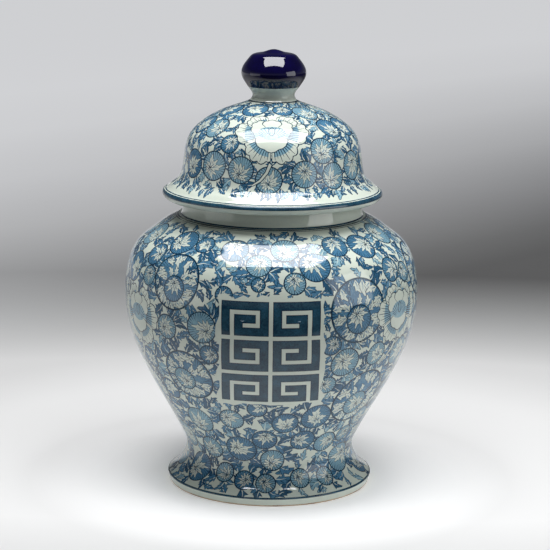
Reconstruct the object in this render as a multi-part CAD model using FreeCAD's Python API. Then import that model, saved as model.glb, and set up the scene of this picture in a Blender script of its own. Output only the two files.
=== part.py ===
"""A lidded porcelain ginger jar, 355 mm tall, with a domed lid and a knob.

The origin is on the jar's axis, where the foot stands, with +Z up. Every piece is turned about Z.
A potter forms the pieces apart and lutes them together with slip before firing:

  jar   foot_ring, foot_skirt, base_floor, lower_body, upper_body, neck_collar
  lid   lid_dome, lid_bezel, knob_stem, knob

The fired jar comes apart in two: the lid lifts straight up out of the neck.
Outlines are drawn in the X-Z half plane as (radius, height) points, in millimetres.
"""

import FreeCAD, Part
import os

V = FreeCAD.Vector

# --- driving dimensions, mm -------------------------------------------------

# foot
FOOT_EDGE_R = 84.2          # widest part of the foot, at the top of its upright edge
FOOT_SEAT_R = 82.8          # outside of the bare seat that touches the table
FOOT_SEAT_INNER_R = 74.0
FOOT_SEAT_H = 1.2           # the bare, unglazed band
FOOT_EDGE_H = 6.4           # height of the upright edge
WAIST_R = 68.4              # narrowest part, where the foot is luted to the body
WAIST_Z = 32.0

# body
BELLY_R = 119.5
BELLY_Z = 160.0             # the upper and lower halves are luted here
SHOULDER_TOP_R = 75.8
NECK_BASE_Z = 222.5
WALL = 6.0                  # body wall
FOOT_WALL = 6.5             # foot wall at the waist

# floor of the jar, recessed above the table
FLOOR_UNDER_Z = 14.0
FLOOR_TOP_Z = 21.0

# neck
NECK_BASE_R = 74.4
NECK_TOP_R = 71.8
NECK_BORE_R = 66.0
RIM_Z = 236.5               # the lid sits on the neck's rim at this height
RIM_ROUNDING = 1.2

# lid
SEAT_OUTER_R = 74.0         # flat underside that rests on the rim
BRIM_R = 89.2
BRIM_LOW_Z = 235.4          # the brim droops a little past the seat
BRIM_LOW_R = 84.8
BRIM_WIDE_Z = 240.4
BRIM_TOP_Z = 243.2
BRIM_TOP_R = 86.6
BEZEL_OUTER_R = 63.0        # locating ring, 3 mm clear of the neck all round
BEZEL_INNER_R = 58.0
BEZEL_LOW_Z = 222.0
FLANGE_TOP_Z = 241.5        # inner edge of the lid's flange

# knob
STEM_BASE_R = 18.8
STEM_BASE_Z = 315.0
STEM_WAIST_R = 17.0
STEM_WAIST_Z = 318.6
STEM_TOP_R = 20.9
KNOB_Z = 325.8              # the cobalt glaze starts here
KNOB_R = 26.2
KNOB_WIDE_Z = 336.8
KNOB_NUB_R = 5.0            # small raised point on the crown
KNOB_NUB_Z = 354.4
JAR_HEIGHT = 355.4
VENT_R = 8.0                # the knob is cast hollow, open to the inside of the lid


# --- drawing and turning outlines -------------------------------------------

def at(point):
    radius, height = point
    return V(radius, 0, height)


def line(*points):
    """Straight runs through (radius, height) points."""
    return [Part.makeLine(at(a), at(b)) for a, b in zip(points, points[1:])]


def curve(*points, start=None, end=None):
    """One smooth curve through (radius, height) points, with optional end directions."""
    spline = Part.BSplineCurve()
    ends = {}
    if start:
        ends["InitialTangent"] = at(start)
    if end:
        ends["FinalTangent"] = at(end)
    if len(ends) == 1:  # the spline needs both ends or neither
        first, last = at(points[0]), at(points[-1])
        ends.setdefault("InitialTangent", at(points[1]) - first)
        ends.setdefault("FinalTangent", last - at(points[-2]))
    spline.interpolate(Points=[at(p) for p in points], **ends)
    return [spline.toShape()]


def arc(a, middle, b):
    """A circular arc through three (radius, height) points."""
    return [Part.Arc(at(a), at(middle), at(b)).toShape()]


def turned(*edges):
    """The solid swept by a closed outline going once round the Z axis."""
    outline = Part.Wire(Part.__sortEdges__([e for group in edges for e in group]))
    solid = Part.Face(outline).revolve(V(0, 0, 0), V(0, 0, 1), 360)
    if solid.ShapeType != "Solid":
        solid = Part.makeSolid(Part.makeShell(solid.Faces))
    if solid.Volume < 0:
        solid.reverse()
    return solid


UP = (0, 1)
DOWN = (0, -1)
IN = (-1, 0)


# --- the jar ----------------------------------------------------------------

def foot_ring():
    """The bare clay seat that the jar stands on."""
    bevel = 0.5
    return turned(line(
        (FOOT_SEAT_INNER_R, FOOT_SEAT_H),
        (FOOT_SEAT_INNER_R + bevel, 0),
        (FOOT_SEAT_R - bevel, 0),
        (FOOT_SEAT_R, FOOT_SEAT_H),
        (FOOT_SEAT_INNER_R, FOOT_SEAT_H),
    ))


def foot_skirt():
    """The flared foot, hollow underneath, with a ledge inside that holds the floor."""
    inner_waist_r = WAIST_R - FOOT_WALL
    edge_rounding = 0.9
    outside = curve(
        (FOOT_EDGE_R - edge_rounding, FOOT_EDGE_H + edge_rounding),
        (75.8, 13.8),
        (70.2, 23.0),
        (WAIST_R, WAIST_Z),
        start=(-1.0, 0.75), end=UP,
    )
    edge = line((FOOT_SEAT_R, FOOT_SEAT_H), (FOOT_EDGE_R, FOOT_EDGE_H)) + arc(
        (FOOT_EDGE_R, FOOT_EDGE_H),
        (FOOT_EDGE_R - 0.25, FOOT_EDGE_H + 0.65),
        (FOOT_EDGE_R - edge_rounding, FOOT_EDGE_H + edge_rounding),
    )
    inside = line(
        (WAIST_R, WAIST_Z),
        (inner_waist_r, WAIST_Z),
        (inner_waist_r, FLOOR_UNDER_Z),
    ) + curve(
        (inner_waist_r, FLOOR_UNDER_Z),
        (66.0, 8.0),
        (FOOT_SEAT_INNER_R, FOOT_SEAT_H),
        start=(0.3, -1), end=(1, -0.35),
    )
    seat = line((FOOT_SEAT_INNER_R, FOOT_SEAT_H), (FOOT_SEAT_R, FOOT_SEAT_H))
    return turned(edge, outside, inside, seat)


def base_floor():
    """The disc that closes the bottom of the jar."""
    radius = WAIST_R - FOOT_WALL
    return turned(line(
        (0, FLOOR_UNDER_Z),
        (radius, FLOOR_UNDER_Z),
        (radius, FLOOR_TOP_Z),
        (0, FLOOR_TOP_Z),
        (0, FLOOR_UNDER_Z),
    ))


def lower_body():
    """From the waist up to the widest part of the belly."""
    outside = curve(
        (WAIST_R, WAIST_Z), (70.9, 40.0), (75.0, 48.0), (88.5, 72.0), (108.2, 110.0),
        (115.6, 130.0), (BELLY_R, BELLY_Z),
        start=UP, end=UP,
    )
    inside = curve(
        (WAIST_R - FOOT_WALL, WAIST_Z), (69.5, 51.0), (83.4, 75.0), (102.2, 111.2),
        (BELLY_R - WALL, BELLY_Z),
        start=UP, end=UP,
    )
    waist = line((WAIST_R, WAIST_Z), (WAIST_R - FOOT_WALL, WAIST_Z))
    belly = line((BELLY_R, BELLY_Z), (BELLY_R - WALL, BELLY_Z))
    return turned(outside, inside, waist, belly)


def upper_body():
    """From the belly up over the shoulder to the foot of the neck."""
    bore_low_z = NECK_BASE_Z - 5.0
    outside = curve(
        (BELLY_R, BELLY_Z), (117.4, 180.0), (108.3, 200.0), (97.4, 209.0), (86.4, 217.0),
        (SHOULDER_TOP_R, NECK_BASE_Z),
        start=UP, end=(-1.0, 0.5),
    )
    inside = curve(
        (BELLY_R - WALL, BELLY_Z), (111.4, 178.6), (103.6, 196.0), (88.8, 207.9),
        (NECK_BORE_R, bore_low_z),
        start=UP, end=(-1.0, 0.4),
    )
    top = line(
        (SHOULDER_TOP_R, NECK_BASE_Z),
        (NECK_BORE_R, NECK_BASE_Z),
        (NECK_BORE_R, bore_low_z),
    )
    belly = line((BELLY_R, BELLY_Z), (BELLY_R - WALL, BELLY_Z))
    return turned(outside, top, inside, belly)


def neck_collar():
    """The upright neck, which leans in a little to the rim that the lid sits on."""
    below_rim_z = RIM_Z - RIM_ROUNDING
    arc_middle = RIM_ROUNDING * (1 - 0.5 ** 0.5)
    outside = curve(
        (NECK_BASE_R, NECK_BASE_Z), (72.7, 226.5), (NECK_TOP_R, below_rim_z),
        start=(-0.8, 1), end=UP,
    )
    outer_rounding = arc(
        (NECK_TOP_R, below_rim_z),
        (NECK_TOP_R - arc_middle, RIM_Z - arc_middle),
        (NECK_TOP_R - RIM_ROUNDING, RIM_Z),
    )
    rim = line((NECK_TOP_R - RIM_ROUNDING, RIM_Z), (NECK_BORE_R + RIM_ROUNDING, RIM_Z))
    inner_rounding = arc(
        (NECK_BORE_R + RIM_ROUNDING, RIM_Z),
        (NECK_BORE_R + arc_middle, RIM_Z - arc_middle),
        (NECK_BORE_R, below_rim_z),
    )
    bore = line(
        (NECK_BORE_R, below_rim_z),
        (NECK_BORE_R, NECK_BASE_Z),
        (NECK_BASE_R, NECK_BASE_Z),
    )
    return turned(outside, outer_rounding, rim, inner_rounding, bore)


# --- the lid ----------------------------------------------------------------

def lid_dome():
    """The hollow dome with its brim, thrown as one piece."""
    top_inside = (VENT_R, STEM_BASE_Z - 5.4)
    under = line((BEZEL_INNER_R, RIM_Z), (SEAT_OUTER_R, RIM_Z), (BRIM_LOW_R, BRIM_LOW_Z))
    edge = curve(
        (BRIM_LOW_R, BRIM_LOW_Z), (BRIM_R - 1.3, BRIM_LOW_Z + 1.9), (BRIM_R, BRIM_WIDE_Z),
        (BRIM_R - 0.9, BRIM_TOP_Z - 0.9), (BRIM_TOP_R, BRIM_TOP_Z),
        start=(1, 0.1), end=(-1, 0.25),
    )
    outside = curve(
        (BRIM_TOP_R, BRIM_TOP_Z), (82.0, 247.0), (76.6, 251.2), (73.4, 259.0), (71.6, 271.5),
        (67.8, 286.0), (57.0, 297.6), (40.0, 307.0), (24.4, 312.6), (STEM_BASE_R, STEM_BASE_Z),
        start=(-1, 0.32), end=(-1, 0.55),
    )
    crown = line((STEM_BASE_R, STEM_BASE_Z), (VENT_R, STEM_BASE_Z), top_inside)
    inside = curve(
        top_inside, (28.0, 305.0), (44.0, 298.0), (57.6, 288.9), (64.9, 276.5), (67.2, 263.0),
        (66.2, 250.0), (62.0, 244.0), (BEZEL_INNER_R, FLANGE_TOP_Z),
        start=(1, -0.12), end=(-1, -0.4),
    )
    flange = line((BEZEL_INNER_R, FLANGE_TOP_Z), (BEZEL_INNER_R, RIM_Z))
    return turned(under, edge, outside, crown, inside, flange)


def lid_bezel():
    """The locating ring that hangs inside the neck and keeps the lid from sliding off."""
    rounding = 1.5
    middle_r = (BEZEL_OUTER_R + BEZEL_INNER_R) / 2
    foot = curve(
        (BEZEL_INNER_R, BEZEL_LOW_Z + rounding),
        (middle_r, BEZEL_LOW_Z),
        (BEZEL_OUTER_R, BEZEL_LOW_Z + rounding),
        start=DOWN, end=UP,
    )
    walls = line(
        (BEZEL_OUTER_R, BEZEL_LOW_Z + rounding),
        (BEZEL_OUTER_R, RIM_Z),
        (BEZEL_INNER_R, RIM_Z),
        (BEZEL_INNER_R, BEZEL_LOW_Z + rounding),
    )
    return turned(foot, walls)


def knob_stem():
    """The pale waisted stem between the dome and the knob."""
    outside = curve(
        (STEM_BASE_R, STEM_BASE_Z), (STEM_WAIST_R, STEM_WAIST_Z), (STEM_TOP_R, KNOB_Z),
        start=(-0.8, 1), end=(0.75, 1),
    )
    rest = line(
        (STEM_TOP_R, KNOB_Z),
        (VENT_R, KNOB_Z),
        (VENT_R, STEM_BASE_Z),
        (STEM_BASE_R, STEM_BASE_Z),
    )
    return turned(outside, rest)


def knob():
    """The cobalt knob: two nearly straight flanks, a low crown and a small point, cast hollow."""
    crown_edge, facet = (19.3, 349.4), (-0.8, 1)
    flank = curve(
        (STEM_TOP_R, KNOB_Z), (25.0, 332.2), (KNOB_R, KNOB_WIDE_Z), (24.5, 342.4), crown_edge,
        start=(0.62, 1), end=facet,
    )
    crown = curve(
        crown_edge, (17.4, 351.1), (14.2, 352.2), (9.0, 353.1), (KNOB_NUB_R, KNOB_NUB_Z),
        (0, JAR_HEIGHT),
        start=facet, end=IN,
    )
    pocket_top_z = 345.0
    pocket_r = 15.0
    pocket = curve(
        (VENT_R, KNOB_Z), (pocket_r, 334.5), (VENT_R, pocket_top_z - 2.0), (0, pocket_top_z),
        start=(0.4, 1), end=IN,
    )
    axis = line((0, pocket_top_z), (0, JAR_HEIGHT))
    joint = line((VENT_R, KNOB_Z), (STEM_TOP_R, KNOB_Z))
    return turned(flank, crown, axis, pocket, joint)


PIECES = (
    foot_ring, foot_skirt, base_floor, lower_body, upper_body, neck_collar,
    lid_dome, lid_bezel, knob_stem, knob,
)


def main():
    os.makedirs("parts", exist_ok=True)
    for make in PIECES:
        solid = make()
        solid.exportStep(f"parts/{make.__name__}.step")
        print(f"{make.__name__:12s} {solid.Volume / 1000:8.2f} cm3  valid {solid.isValid()}")


main()
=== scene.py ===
# %% [markdown]
# # A blue-and-white ginger jar
# This lesson dresses a lidded porcelain jar for a studio picture. The measured pieces come from a packed
# model. Its meshes would be true in size, but too coarse to mirror a softbox and with nowhere to hold
# paint, so each piece is thrown again from its outline, finely enough for a glossy glaze, and then
# painted. Everything is in metres with +Z up, and the jar's front faces -Y.

# %% Open the model
import math
import random
from cmath import exp, phase, rect

import bpy
import numpy as np
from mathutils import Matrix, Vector
from mathutils.bvhtree import BVHTree
from mathutils.geometry import delaunay_2d_cdt


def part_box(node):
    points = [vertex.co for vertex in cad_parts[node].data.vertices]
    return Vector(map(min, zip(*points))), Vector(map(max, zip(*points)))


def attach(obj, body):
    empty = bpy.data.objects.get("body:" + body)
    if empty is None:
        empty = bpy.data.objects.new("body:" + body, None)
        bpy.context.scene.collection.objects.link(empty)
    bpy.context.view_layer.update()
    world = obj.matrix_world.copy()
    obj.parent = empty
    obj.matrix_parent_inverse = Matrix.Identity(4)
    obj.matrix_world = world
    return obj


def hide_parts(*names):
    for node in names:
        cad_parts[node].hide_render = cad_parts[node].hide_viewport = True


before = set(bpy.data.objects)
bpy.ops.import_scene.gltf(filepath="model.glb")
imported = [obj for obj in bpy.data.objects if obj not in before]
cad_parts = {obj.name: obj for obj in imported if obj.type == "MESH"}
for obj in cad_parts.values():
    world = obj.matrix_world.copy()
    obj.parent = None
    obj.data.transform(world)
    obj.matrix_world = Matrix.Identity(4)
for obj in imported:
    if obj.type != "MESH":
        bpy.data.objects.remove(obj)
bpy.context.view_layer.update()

# %% [markdown]
# ## Outlines
# A potter's profile gauge is a card cut to half of the pot's outline. Ours is a closed line of
# (radius, height) points in millimetres. It goes up the outside, over the top, down the inside and back,
# so that a wall has two faces and a closed edge. A Bezier curve would do for this too, but it hides where
# its points fall. Here a rounded run is one smooth cubic through a few points, which is how a hand or a
# rib moves over turning clay, and it is divided more finely where it bends more, because a glaze shows
# every facet.

# %% Draw a smooth run
STEP = 2.8          # longest piece of a run, mm
BEND = 9.0          # most that a run turns between two points, degrees
HAIR = 0.01         # a sharp corner is two points this far apart, one for each direction, mm


def heading(way):
    """The direction of travel in the outline's plane, in radians."""
    return math.atan2(way[1], way[0])


def smooth(points, start=None, end=None):
    """A cubic through (radius, height) points, with the directions that it leaves and arrives in.
    Gives back (radius, height, heading) points."""
    p = np.array(points, float)
    gaps = np.linalg.norm(np.diff(p, axis=0), axis=1)
    n = len(p)
    rows = np.zeros((n, n))
    target = np.zeros((n, 2))
    for i in range(1, n - 1):
        before, after = gaps[i - 1], gaps[i]
        rows[i, i - 1:i + 2] = after, 2 * (before + after), before
        target[i] = 3 * (after * (p[i] - p[i - 1]) / before + before * (p[i + 1] - p[i]) / after)
    for i, way, chord in ((0, start, p[1] - p[0]), (n - 1, end, p[-1] - p[-2])):
        rows[i, i] = 1
        way = chord if way is None else np.array(way, float)
        target[i] = way / np.linalg.norm(way)
    slopes = np.linalg.solve(rows, target)
    run = [(*p[0], heading(slopes[0]))]
    for i in range(n - 1):
        turn = math.degrees(abs(phase(complex(*slopes[i + 1]) / complex(*slopes[i]))))
        pieces = max(1, math.ceil(gaps[i] / STEP), math.ceil(turn / BEND))
        a, b, chord = gaps[i] * slopes[i], gaps[i] * slopes[i + 1], p[i + 1] - p[i]
        for k in range(1, pieces + 1):
            t = k / pieces
            spot = (p[i] + (3 * t**2 - 2 * t**3) * chord + (t**3 - 2 * t**2 + t) * a
                    + (t**3 - t**2) * b)
            way = 6 * (t - t**2) * chord + (3 * t**2 - 4 * t + 1) * a + (3 * t**2 - 2 * t) * b
            run.append((*spot, heading(way)))
    return run


print("a smooth run keeps steps under", STEP, "mm and turns under", BEND, "degrees")

# %% Draw straight runs and rounded corners
def straight(*points):
    """Straight runs through the points, divided evenly."""
    run = []
    for a, b in zip(points, points[1:]):
        pieces = max(1, math.ceil(math.dist(a, b) / STEP))
        way = np.subtract(b, a)
        run += [(*(a + way * k / pieces), heading(way)) for k in range(pieces + 1)]
    return run


def rounded(corner, before, after, radius):
    """A small arc that takes the sharpness off a corner, as a wet sponge does."""
    c = complex(*corner)
    into = (complex(*before) - c) / abs(complex(*before) - c)
    out = (complex(*after) - c) / abs(complex(*after) - c)
    run = []
    for t in (0, 0.25, 0.5, 0.75, 1):
        spot = c + radius * ((1 - t) ** 2 * into + t**2 * out)
        way = t * out - (1 - t) * into
        run.append((spot.real, spot.imag, phase(way)))
    return run


print("a rounded corner takes", len(rounded((1, 1), (1, 0), (0, 1), 0.5)), "points")

# %% [markdown]
# ## A closed outline
# Two runs often meet at a sharp edge, where the glaze needs two directions at one place. The outline
# keeps two points a hair apart there, one for each direction, and a single point where the runs meet
# smoothly. It also knows how far each point is along the line, because paint is measured with a tape
# held against the pot and not by height.

# %% Join runs into an outline
SAME_PLACE = 1e-4                       # runs that end this close meet, mm
SAME_WAY = math.radians(2)              # and this close in direction, they meet smoothly


class Outline:
    """A closed line of (radius, height) points, with the heading at each and the distance to it."""

    def __init__(self, *runs):
        spots = []
        for i, run in enumerate(runs):
            for radius, height, way in run:
                if spots and math.dist(spots[-1][:2], (radius, height)) < SAME_PLACE:
                    if abs(phase(rect(1, way - spots[-1][2]))) < SAME_WAY:
                        continue
                    radius, height = radius + HAIR * math.cos(way), height + HAIR * math.sin(way)
                spots.append((radius, height, way))
            if i == 0:
                self.outside = len(spots) - 1        # the first run is the painted outside
        if math.dist(spots[0][:2], spots[-1][:2]) < SAME_PLACE:
            radius, height, way = spots.pop()
            spots.append((radius - HAIR * math.cos(way), height - HAIR * math.sin(way), way))
            spots.append(spots[0])
        self.points = np.array([spot[:2] for spot in spots])
        self.headings = np.unwrap([spot[2] for spot in spots])
        steps = np.linalg.norm(np.diff(self.points, axis=0), axis=1)
        self.along = np.concatenate(([0.0], np.cumsum(steps)))

    def radius(self, along):
        return float(np.interp(along, self.along, self.points[:, 0]))

    def at_height(self, height):
        """Distance along the outside to a height."""
        zs = self.points[:self.outside + 1, 1]
        return float(np.interp(height, zs, self.along[:self.outside + 1]))


square = Outline(straight((0, 0), (1, 0), (1, 1), (0, 1), (0, 0)))
print("a square outline keeps", len(square.points), "points")

# %% [markdown]
# ## The jar's outline
# The jar is luted together from a foot, two halves of the body and a neck. One lathe over the whole jar
# would be simpler, but then no piece could stand for its own part of the model. Their sizes are the
# model's own, and the few points in between are where the belly swells, the waist nips in and the foot
# flares.

# %% Read the driving sizes from the frame
MM = 1000.0                             # outlines are in millimetres and the scene in metres


def top(node):
    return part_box(node)[1][2] * MM


def low(node):
    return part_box(node)[0][2] * MM


def widest(node):
    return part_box(node)[1][0] * MM


waist_z, belly_z, shoulder_z = low("lower_body"), top("lower_body"), top("upper_body")
rim_z = top("neck_collar")
seat_z = top("foot_ring")
belly_r, foot_r, seat_r = widest("lower_body"), widest("foot_skirt"), widest("foot_ring")
floor_r = widest("base_floor")
brim_r, knob_r = widest("lid_dome"), widest("knob")
stem_z, knob_z, crown_z = low("knob_stem"), low("knob"), top("knob")
bezel_r, bezel_z = widest("lid_bezel"), low("lid_bezel")
FOOT_WALL, WALL = 6.5, 6.0              # thickness of the clay at the waist and in the body
WAIST_R = floor_r + FOOT_WALL
SHOULDER_R = 75.8                       # where the shoulder meets the neck
print(f"waist at {waist_z:.1f}, belly {belly_r:.1f} at {belly_z:.1f}, rim at {rim_z:.1f} mm")

# %% Cut the jar's profile gauges
UP, DOWN = (0, 1), (0, -1)
NECK_BORE_R = 66.0
SEAT_INNER_R = 74.0                     # inside of the bare ring that the jar stands on
FOOT_EDGE = 5.2                         # height of the upright edge of the foot above the bare ring
RIM_ROUNDING = 1.2

foot_outside = (
    straight((seat_r, seat_z), (foot_r, seat_z + FOOT_EDGE))
    + smooth([(foot_r, seat_z + FOOT_EDGE), (foot_r - 0.25, seat_z + 5.85), (foot_r - 0.9, seat_z + 6.1)],
             start=UP, end=(-1, 0.3))
    + smooth([(foot_r - 0.9, seat_z + 6.1), (75.8, 13.8), (70.2, 23.0), (WAIST_R, waist_z)],
             start=(-1.0, 0.75), end=UP)
)
foot_outline = Outline(
    foot_outside,
    straight((WAIST_R, waist_z), (floor_r, waist_z), (floor_r, 14.0)),
    smooth([(floor_r, 14.0), (66.0, 8.0), (SEAT_INNER_R, seat_z)], start=(0.3, -1), end=(1, -0.35)),
    straight((SEAT_INNER_R, seat_z), (seat_r, seat_z)),
)
lower_outline = Outline(
    smooth([(WAIST_R, waist_z), (70.9, 40.0), (75.0, 48.0), (88.5, 72.0), (108.2, 110.0),
            (115.6, 130.0), (belly_r, belly_z)], start=UP, end=UP),
    straight((belly_r, belly_z), (belly_r - WALL, belly_z)),
    smooth([(belly_r - WALL, belly_z), (102.2, 111.2), (83.4, 75.0), (69.5, 51.0),
            (floor_r, waist_z)], start=DOWN, end=DOWN),
    straight((floor_r, waist_z), (WAIST_R, waist_z)),
)
upper_outline = Outline(
    smooth([(belly_r, belly_z), (117.4, 180.0), (108.3, 200.0), (97.4, 209.0), (86.4, 217.0),
            (SHOULDER_R, shoulder_z)], start=UP, end=(-1.0, 0.5)),
    straight((SHOULDER_R, shoulder_z), (NECK_BORE_R, shoulder_z), (NECK_BORE_R, shoulder_z - 5)),
    smooth([(NECK_BORE_R, shoulder_z - 5), (88.8, 207.9), (103.6, 196.0), (111.4, 178.6),
            (belly_r - WALL, belly_z)], start=(1.0, -0.4), end=DOWN),
    straight((belly_r - WALL, belly_z), (belly_r, belly_z)),
)
neck_top_r, neck_base_r = 71.8, widest("neck_collar")
neck_outline = Outline(
    smooth([(neck_base_r, shoulder_z), (72.7, 226.5), (neck_top_r, rim_z - RIM_ROUNDING)],
           start=(-0.8, 1), end=UP),
    rounded((neck_top_r, rim_z), (neck_top_r, 0), (0, rim_z), RIM_ROUNDING),
    straight((neck_top_r - RIM_ROUNDING, rim_z), (NECK_BORE_R + RIM_ROUNDING, rim_z)),
    rounded((NECK_BORE_R, rim_z), (500, rim_z), (NECK_BORE_R, 0), RIM_ROUNDING),
    straight((NECK_BORE_R, rim_z - RIM_ROUNDING), (NECK_BORE_R, shoulder_z), (neck_base_r, shoulder_z)),
)
floor_z = low("base_floor")
floor_outline = Outline(
    straight((0, floor_z), (floor_r, floor_z), (floor_r, top("base_floor")), (0, top("base_floor")),
             (0, floor_z)),
)
ring_outline = Outline(
    straight((SEAT_INNER_R + 0.5, 0), (seat_r - 0.5, 0), (seat_r, seat_z), (SEAT_INNER_R, seat_z),
             (SEAT_INNER_R + 0.5, 0)),
)
for name, outline in (("foot", foot_outline), ("lower body", lower_outline), ("upper body", upper_outline)):
    print(f"{name}: {len(outline.points)} points, {outline.along[outline.outside]:.0f} mm up the outside")

# %% [markdown]
# ## The lid's outline
# The lid is a dome with a brim that overhangs the neck. A ring under it drops inside the neck and keeps
# the lid from sliding off. The knob stands on a small stem, and both are hollow, because a thick lump of
# clay cracks in the kiln. The knob could be a squashed sphere, but its upper flank is a straight facet,
# so it gets an outline of its own like the rest.

# %% Cut the lid's profile gauges
BEZEL_WALL = 5.0
bezel_inner_r = bezel_r - BEZEL_WALL
VENT_R = 8.0                            # the hole that lets air out of the hollow knob
stem_base_r, stem_top_r = 18.8, 20.9
brim_low_z, brim_wide_z, brim_top_z = rim_z - 1.1, rim_z + 3.9, rim_z + 6.7

brim_edge = smooth([(84.8, brim_low_z), (brim_r - 1.3, brim_low_z + 1.9), (brim_r, brim_wide_z),
                    (brim_r - 0.9, brim_top_z - 0.9), (86.6, brim_top_z)], start=(1, 0.1), end=(-1, 0.25))
dome = smooth([(86.6, brim_top_z), (82.0, 247.0), (76.6, 251.2), (73.4, 259.0), (71.6, 271.5),
               (67.8, 286.0), (57.0, 297.6), (40.0, 307.0), (24.4, 312.6), (stem_base_r, stem_z)],
              start=(-1, 0.32), end=(-1, 0.55))
lid_outline = Outline(
    brim_edge + dome,
    straight((stem_base_r, stem_z), (VENT_R, stem_z), (VENT_R, stem_z - 5.4)),
    smooth([(VENT_R, stem_z - 5.4), (28.0, 305.0), (44.0, 298.0), (57.6, 288.9), (64.9, 276.5),
            (67.2, 263.0), (66.2, 250.0), (62.0, 244.0), (bezel_inner_r, rim_z + 5)],
           start=(1, -0.12), end=(-1, -0.4)),
    straight((bezel_inner_r, rim_z + 5), (bezel_inner_r, rim_z), (74.0, rim_z), (84.8, brim_low_z)),
)
bezel_middle_r = bezel_r - BEZEL_WALL / 2
bezel_outline = Outline(
    straight((bezel_r, bezel_z + 1.5), (bezel_r, rim_z), (bezel_inner_r, rim_z),
             (bezel_inner_r, bezel_z + 1.5)),
    smooth([(bezel_inner_r, bezel_z + 1.5), (bezel_middle_r, bezel_z), (bezel_r, bezel_z + 1.5)],
           start=DOWN, end=UP),
)
stem_outline = Outline(
    smooth([(stem_base_r, stem_z), (17.0, stem_z + 3.6), (stem_top_r, knob_z)],
           start=(-0.8, 1), end=(0.75, 1)),
    straight((stem_top_r, knob_z), (VENT_R, knob_z), (VENT_R, stem_z), (stem_base_r, stem_z)),
)
facet = (-0.8, 1)                     # the upper flank of the knob is nearly straight
knob_outline = Outline(
    smooth([(stem_top_r, knob_z), (25.0, 332.2), (knob_r, 336.8), (24.5, 342.4), (19.3, 349.4)],
           start=(0.62, 1), end=facet)
    + smooth([(19.3, 349.4), (17.4, 351.1), (14.2, 352.2), (9.0, 353.1), (5.0, 354.4), (0, crown_z)],
             start=facet, end=(-1, 0)),
    straight((0, crown_z), (0, 345.0)),
    smooth([(0, 345.0), (VENT_R, 343.0), (15.0, 334.5), (VENT_R, knob_z)], start=(1, 0), end=(-0.4, -1)),
    straight((VENT_R, knob_z), (stem_top_r, knob_z)),
)
print(f"lid: {len(lid_outline.points)} points, knob: {len(knob_outline.points)} points")

# %% [markdown]
# ## Paint on a flat sheet
# The decoration is cobalt oxide brushed on the raw clay and then covered with clear glaze. It has two
# kinds of mark: pale washes laid with a full brush, and thin dark lines laid over them. We paint it flat.
# A sheet is the outside of a piece rolled out like a label: across is the angle round the pot, and up is
# the distance along its outline. Marks are closed shapes, and a later mark covers an earlier one.
# Millimetres across are turned into degrees at the mark's own height, so a round flower stays round.
# A picture wrapped round the jar would be quicker, but it stretches on the shoulder and blurs close to.

# %% The paints and the sheet
# how much pigment a mark holds, where CLAY is bare and WHITE is glaze with no pigment under it
CLAY, WHITE, PALE, MID, DEEP_WASH, DEEP, LINE, DARK_LINE = -1.0, 0.0, 0.3, 0.48, 0.66, 0.84, 0.93, 1.0
MARK_STEP = 4.0                      # longest side of a mark, so that it can bend round the pot, mm


class Sheet:
    """The rolled-out outside of one vessel, made of one outline or of several end to end."""

    def __init__(self, outlines):
        self.outlines = outlines
        self.starts = np.concatenate(([0.0], np.cumsum([o.along[o.outside] for o in outlines])))
        runs = [(o.along[:o.outside + 1] + s, o.points[:o.outside + 1, 0])
                for o, s in zip(outlines, self.starts)]
        self.along = np.concatenate([a for a, _ in runs])
        self.radii = np.concatenate([r for _, r in runs])
        self.marks = []              # (points of degrees and mm along, pigment)

    def radius(self, along):
        return float(np.interp(along, self.along, self.radii))

    def up(self, height):
        """Distance along the sheet to a height."""
        for outline, start in zip(self.outlines, self.starts):
            if height <= outline.points[outline.outside, 1]:
                return start + outline.at_height(height)
        raise ValueError(height)

    def stamp(self, marks, angle, along, turn=0.0):
        """Lay a motif down with its centre at an angle and a distance along."""
        spin = rect(1.0, math.radians(turn))
        for shape, pigment in marks:
            flat = []
            for p in shape:
                q = p * spin
                flat.append((angle + math.degrees(q.real / self.radius(along + q.imag)), along + q.imag))
            self.marks.append((flat, pigment))

    def band(self, lowest, highest, pigment):
        """A line turned right round the pot, as on a banding wheel."""
        self.marks.append(([(-180, lowest), (180, lowest), (180, highest), (-180, highest)], pigment))


print("pigment runs from", WHITE, "to", DARK_LINE)

# %% [markdown]
# ## Brush marks
# A soft brush makes a stroke that swells where it is pressed and ends in a point. Such a stroke could be
# a curve with a round section, but a mark here is only a flat shape. A complex number is a handy point
# on a flat sheet: adding moves it and multiplying turns it. Each motif below gives back its marks in
# painting order, about its own middle and in millimetres.

# %% Strokes, discs and leaves
def stroke(path, widths):
    """One pull of the brush along a path, as wide at each point as the brush is pressed."""
    left, right = [], []
    for i, (p, w) in enumerate(zip(path, widths)):
        way = path[min(i + 1, len(path) - 1)] - path[max(i - 1, 0)]
        side = 0.5j * w * way / abs(way)
        left.append(p + side)
        right.append(p - side)
    if widths[-1] == 0:
        left.pop()
    if widths[0] == 0:
        left.pop(0)
    return right + left[::-1]


def disc(radius):
    sides = max(14, int(radius * 2))
    return [rect(radius, math.tau * k / sides) for k in range(sides)]


def moved(marks, by=0, turn=0.0):
    spin = rect(1.0, math.radians(turn))
    return [([by + p * spin for p in shape], pigment) for shape, pigment in marks]


def curled(length, bend, u, w=0.0):
    """A point beside a spine that curls by bend degrees: u of the way along and w mm to the left."""
    turn = math.radians(bend)
    spine = length * u if abs(turn) < 1e-3 else length * (exp(1j * turn * u) - 1) / (1j * turn)
    return spine + 1j * w * exp(1j * turn * u)


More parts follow.
